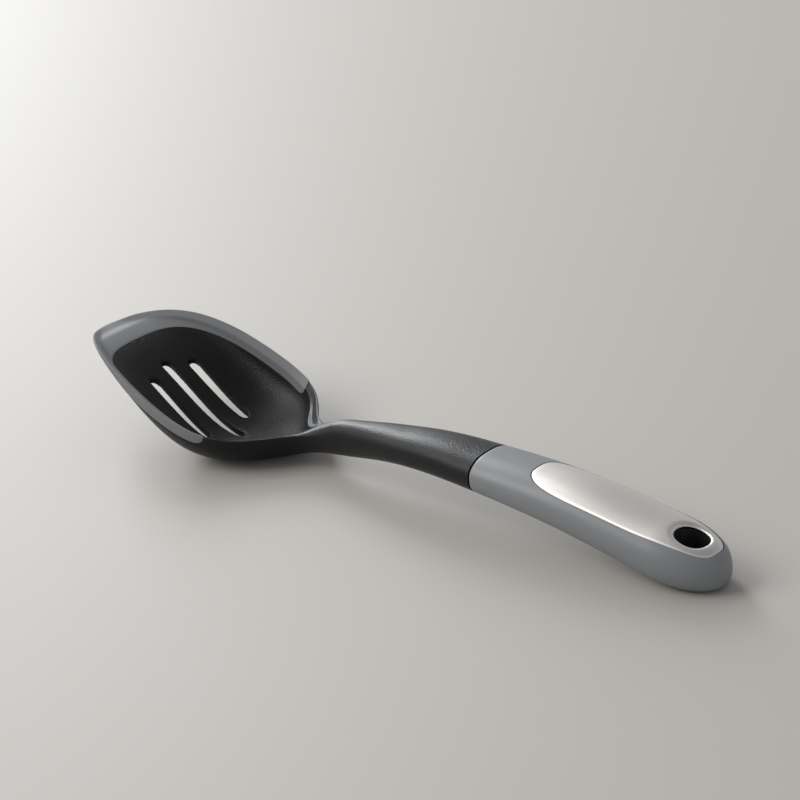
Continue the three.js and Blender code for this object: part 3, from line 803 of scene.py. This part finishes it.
def handle_form(name, start, inset):
    """The handle's outside from start to its rounded end, or that form drawn in by inset."""
    straight = np.linspace(start, HEEL_AT, GRIP_ROWS)
    bend = np.sin(np.linspace(0, np.pi / 2, GRIP_END_ROWS)[1:])
    rows = np.concatenate([straight, HEEL_AT + (END_ROUND - inset) * bend])
    turn = np.linspace(0, 2 * np.pi, GRIP_COLUMNS)
    past = np.clip((rows - HEEL_AT) / (END_ROUND - inset), 0, 1)
    rounding = np.sqrt(np.clip(1 - past**2, 0, 1))[:, None]
    half_wide = (handle_half(rows)[:, None] - inset) * rounding
    half_thick = (handle_top(rows) - handle_under(rows))[:, None] / 2 - inset
    wave_y, wave_z = np.cos(turn), np.sin(turn)
    half_thick = half_thick * np.where(wave_z > 0, rounding**END_TOP_POWER, rounding**END_UNDER_POWER)
    across = half_wide * np.sign(wave_y) * np.abs(wave_y) ** (2 / HANDLE_POWER)
    height = half_thick * np.sign(wave_z) * np.abs(wave_z) ** (2 / HANDLE_POWER)
    points = np.stack([np.broadcast_to(rows[:, None], across.shape), across,
                       handle_middle(rows)[:, None] + height], axis=2)
    points[:, -1] = points[:, 0]
    points[..., 2] = np.maximum(points[..., 2], REST_FLAT)
    form = sheet(name, points)
    weld(form)
    select(form, "EDGE", open_edges(form))
    bpy.ops.mesh.edge_face_add()
    done()
    return form


def oval(middle, length, width, powers, grow, count):
    """Points round an oval, seen from above, with a power for the roundness of each end."""
    turn = np.linspace(0, 2 * np.pi, OVAL_COUNT)
    wave_x, wave_y = np.cos(turn), np.sin(turn)
    power = np.where(wave_x < 0, *powers)
    along = middle + (length / 2 + grow) * np.sign(wave_x) * np.abs(wave_x) ** (2 / power)
    across = (width / 2 + grow) * np.sign(wave_y) * np.abs(wave_y) ** (2 / power)
    line = np.stack([along, across], axis=1)
    return share_of(line, np.arange(count) / count)


def oval_cutter(name, outline, floor):
    """A tall oval block that stands on a floor, which may bend along it."""
    bpy.ops.object.select_all(action="DESELECT")
    bpy.ops.mesh.primitive_circle_add(vertices=len(outline), fill_type="NGON")
    cutter = bpy.context.object
    cutter.name = name
    points = np.column_stack([outline, np.broadcast_to(floor, len(outline))])
    cutter.data.vertices.foreach_set("co", ((points + TIP) * MM).ravel())
    cutter.data.update()
    select(cutter, "FACE", np.ones(1))
    bpy.ops.mesh.extrude_region_move(TRANSFORM_OT_translate={"value": (0, 0, CUTTER_HEIGHT * MM)})
    bpy.ops.mesh.select_all(action="SELECT")
    bpy.ops.mesh.normals_make_consistent(inside=False)
    done()
    return cutter


def cut(piece, cutter):
    """Cuts a piece with a cutter, and removes the cutter."""
    finish_with(piece, "BOOLEAN", operation="DIFFERENCE", object=cutter, solver="EXACT")
    bpy.data.objects.remove(cutter)


grip = handle_form("grip_sleeve_rubber", GRIP_START, 0)
cut(grip, handle_form("core_room", GRIP_START - CUT_AHEAD, GRIP_WALL - GRIP_SEAT))
window = oval(PLATE_MIDDLE, PLATE_LENGTH, PLATE_WIDTH, PLATE_POWERS, PLATE_GAP, WINDOW_COUNT)
cut(grip, oval_cutter("window", window, handle_middle(window[:, 0])))
eye = oval(HOLE_MIDDLE, HOLE_LENGTH, HOLE_WIDTH, HOLE_POWERS, EYE_MARGIN, EYE_COUNT)
cut(grip, oval_cutter("eye", eye, EYE_FLOOR))
clean(grip)

# The front edge of the grip is bevelled, where it meets the neck
OUTERMOST = 0.97
ON_FRONT = 0.01
points, ends = places(grip), edge_ends(grip)
across = points[:, 1] / handle_half(GRIP_START)
height = (points[:, 2] - handle_middle(GRIP_START)) / (handle_top(GRIP_START) - handle_middle(GRIP_START))
outermost = np.abs(across) ** HANDLE_POWER + np.abs(height) ** HANDLE_POWER > OUTERMOST
front = outermost & (np.abs(points[:, 0] - GRIP_START) < ON_FRONT)
select(grip, "EDGE", front[ends].all(axis=1))
bpy.ops.mesh.bevel(offset=GRIP_LIP * MM, segments=3)
done()
clean(grip)
shade(grip, GRIP_CREASE)
grey_grip = moulded("grey_grip", dark=(0.196, 0.206, 0.216), light=(0.23, 0.241, 0.252),
                    rough=(0.38, 0.48), grain=0.4, cloud=12, depth=0.03)
fit(grip, "grip_sleeve", grey_grip)

# Inlay pad
# A thin sheet of adhesive foam, cut to the plate's outline, that beds the plate on the core. The plate
# hides it, so the solid keeps its shape and gets its finish here.
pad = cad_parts["inlay_pad"]
pad.data.materials.clear()
pad_foam = moulded("pad_foam", dark=(0.62, 0.61, 0.58), light=(0.72, 0.71, 0.68),
                   rough=(0.8, 0.95), grain=0.6, cloud=5, depth=0.1)
pad.data.materials.append(pad_foam)

# Steel inlay
# An oval plate stamped from stainless steel, brushed along its length. Its edge is turned down into the
# grip, a collar is drawn down into the hang hole, and the foam pad holds it on the core.
PLATE_THICK = 0.8
PLATE_SKIRT = 2.4
COLLAR_DEPTH = 1.5
COLLAR_DROP = 1.35
COLLAR_ROUND = 2.3
PLATE_ROUND = 0.6
PLATE_COUNT = 224
PLATE_CUTS = 60
BEND_CUTS = 7


def handle_crown(x, y):
    """Height of the handle's top, over its rounded end too."""
    past = np.clip((x - HEEL_AT) / END_ROUND, 0, 1)
    rounding = np.sqrt(np.clip(1 - past**2, 1e-6, 1))
    half_wide = handle_half(x) * rounding
    half_thick = (handle_top(x) - handle_under(x)) / 2 * rounding**END_TOP_POWER
    share = np.clip(np.abs(y) / half_wide, 0, 1)
    return handle_middle(x) + half_thick * (1 - share**HANDLE_POWER) ** (1 / HANDLE_POWER)


def hole_towards(points, grow):
    """Points round the hang hole, in the given points' directions from its middle."""
    away = points - (HOLE_MIDDLE, 0)
    share = np.abs(away) / (HOLE_LENGTH / 2 + grow, HOLE_WIDTH / 2 + grow)
    return (HOLE_MIDDLE, 0) + away / ((share**HOLE_POWER).sum(axis=1) ** (1 / HOLE_POWER))[:, None]


plate_outline = oval(PLATE_MIDDLE, PLATE_LENGTH, PLATE_WIDTH, PLATE_POWERS, 0, PLATE_COUNT)
plate_inner = oval(PLATE_MIDDLE, PLATE_LENGTH, PLATE_WIDTH, PLATE_POWERS, -PLATE_ROUND, PLATE_COUNT)
hole_outline = hole_towards(plate_inner, 0)
hole_outer = hole_towards(plate_inner, COLLAR_ROUND)
quarter = np.linspace(0, np.pi / 2, BEND_CUTS)
profile = [(hole_outline, COLLAR_DEPTH)]
for turn in quarter:
    profile.append((hole_outline + (hole_outer - hole_outline) * (1 - math.cos(turn)),
                    COLLAR_DROP * (1 - math.sin(turn))))
for share in np.linspace(0, 1, PLATE_CUTS)[1:-1]:
    profile.append((hole_outer + (plate_inner - hole_outer) * share, 0.0))
for turn in quarter:
    profile.append((plate_inner + (plate_outline - plate_inner) * math.sin(turn),
                    PLATE_ROUND * (1 - math.cos(turn))))
profile.append((plate_outline, (PLATE_ROUND + PLATE_SKIRT) / 2))
profile.append((plate_outline, PLATE_SKIRT))
plate_points = np.zeros((len(profile), PLATE_COUNT + 1, 3))
for i, (line, depth) in enumerate(profile):
    closed = np.vstack([line, line[:1]])
    plate_points[i, :, :2] = closed
    plate_points[i, :, 2] = handle_crown(closed[:, 0], closed[:, 1]) - depth
plate = sheet("steel_inlay_plate", plate_points)
weld(plate)
face_up(plate, max(plate.data.polygons, key=lambda face: face.center.z))
finish_with(plate, "SOLIDIFY", thickness=PLATE_THICK * MM, offset=-1)
shade(plate)

brushed_steel = bpy.data.materials.new("brushed_steel")
brushed_steel.use_nodes = True
nodes, link = brushed_steel.node_tree.nodes, brushed_steel.node_tree.links.new
steel = nodes["Principled BSDF"]
steel.inputs["Metallic"].default_value = 1
steel.inputs["Base Color"].default_value = (0.7, 0.675, 0.64, 1)
where = nodes.new("ShaderNodeTexCoord")
drawn_out = nodes.new("ShaderNodeMapping")
drawn_out.inputs["Scale"].default_value = (30, 2200, 300)
strokes = nodes.new("ShaderNodeTexNoise")
strokes.inputs["Scale"].default_value = 1
strokes.inputs["Detail"].default_value = 4
gloss = nodes.new("ShaderNodeMapRange")
gloss.inputs["To Min"].default_value = 0.38
gloss.inputs["To Max"].default_value = 0.54
bump = nodes.new("ShaderNodeBump")
bump.inputs["Distance"].default_value = 0.004 * MM
link(where.outputs["Object"], drawn_out.inputs["Vector"])
link(drawn_out.outputs["Vector"], strokes.inputs["Vector"])
link(strokes.outputs["Fac"], gloss.inputs["Value"])
link(gloss.outputs["Result"], steel.inputs["Roughness"])
link(strokes.outputs["Fac"], bump.inputs["Height"])
link(bump.outputs["Normal"], steel.inputs["Normal"])
fit(plate, "steel_inlay", brushed_steel)

# Floor
# A plain pale table top of smooth stone, wide enough to fill every view. The spoon lies on the low
# point of its bowl and on the heel of its grip.
bpy.ops.object.select_all(action="DESELECT")
bpy.ops.mesh.primitive_plane_add(size=12)
floor = bpy.context.object
floor.name = "floor"
table_top = bpy.data.materials.new("table_top")
table_top.use_nodes = True
stone = table_top.node_tree.nodes["Principled BSDF"]
stone.inputs["Base Color"].default_value = (0.47, 0.445, 0.41, 1)
stone.inputs["Roughness"].default_value = 0.6
floor.data.materials.append(table_top)

# Studio light
# Three soft lamps on the left of the picture: one in front, one overhead and one low, like a window.
# The pale room is darker overhead, so that the inside of the bowl stays dark.
WARM = (1, 0.99, 0.97)
COOL = (0.93, 0.97, 1)


def lamp(name, place, size, power, colour):
    """An oval lamp that shines on the middle of the spoon."""
    bpy.ops.object.select_all(action="DESELECT")
    bpy.ops.object.light_add(type="AREA", location=place)
    light = bpy.context.object
    light.name = name
    light.rotation_mode = "QUATERNION"
    light.rotation_quaternion = (-Vector(place)).to_track_quat("-Z", "Y")
    light.data.shape = "ELLIPSE"
    light.data.size, light.data.size_y = size
    light.data.energy = power
    light.data.color = colour


lamp("front_lamp", (-1.2, -1.0, 1.3), (1.4, 1.4), 23, WARM)
lamp("top_lamp", (-1.4, 0.2, 1.45), (1.3, 1.3), 9, WARM)
lamp("window_lamp", (-2.9, 1.6, 1.4), (0.95, 2.0), 62, COOL)
world = bpy.data.worlds.new("studio_room")
world.use_nodes = True
nodes, link = world.node_tree.nodes, world.node_tree.links.new
direction = nodes.new("ShaderNodeTexCoord")
split = nodes.new("ShaderNodeSeparateXYZ")
walls_to_ceiling = nodes.new("ShaderNodeMapRange")
walls_to_ceiling.inputs["To Min"].default_value = 0.7
walls_to_ceiling.inputs["To Max"].default_value = 0.2
nodes["Background"].inputs["Color"].default_value = (0.95, 0.97, 1, 1)
link(direction.outputs["Generated"], split.inputs["Vector"])
link(split.outputs["Z"], walls_to_ceiling.inputs["Value"])
link(walls_to_ceiling.outputs["Result"], nodes["Background"].inputs["Strength"])
bpy.context.scene.world = world
bpy.context.scene.view_settings.view_transform = "Standard"

# Camera
# It stands in front of the grip's end and above it, at the photograph's viewing angle, and carries the
# spoon's slight roll. Its place and lens come from a fit to the photograph's outlines.
forward = Vector((-0.6602, 0.6328, -0.4047)).normalized()
up = Vector((-0.2004, 0.3709, 0.9068))
right = forward.cross(up).normalized()
up = right.cross(forward)
bpy.ops.object.select_all(action="DESELECT")
bpy.ops.object.camera_add()
camera = bpy.context.object
camera.name = "camera"
stand = Vector((633.68, -595.84, 421.24)) * MM
camera.matrix_world = Matrix.Translation(stand) @ Matrix((right, up, -forward)).transposed().to_4x4()
camera.data.sensor_fit = "HORIZONTAL"
camera.data.sensor_width = 36
camera.data.lens = 109.73
bpy.context.scene.camera = camera
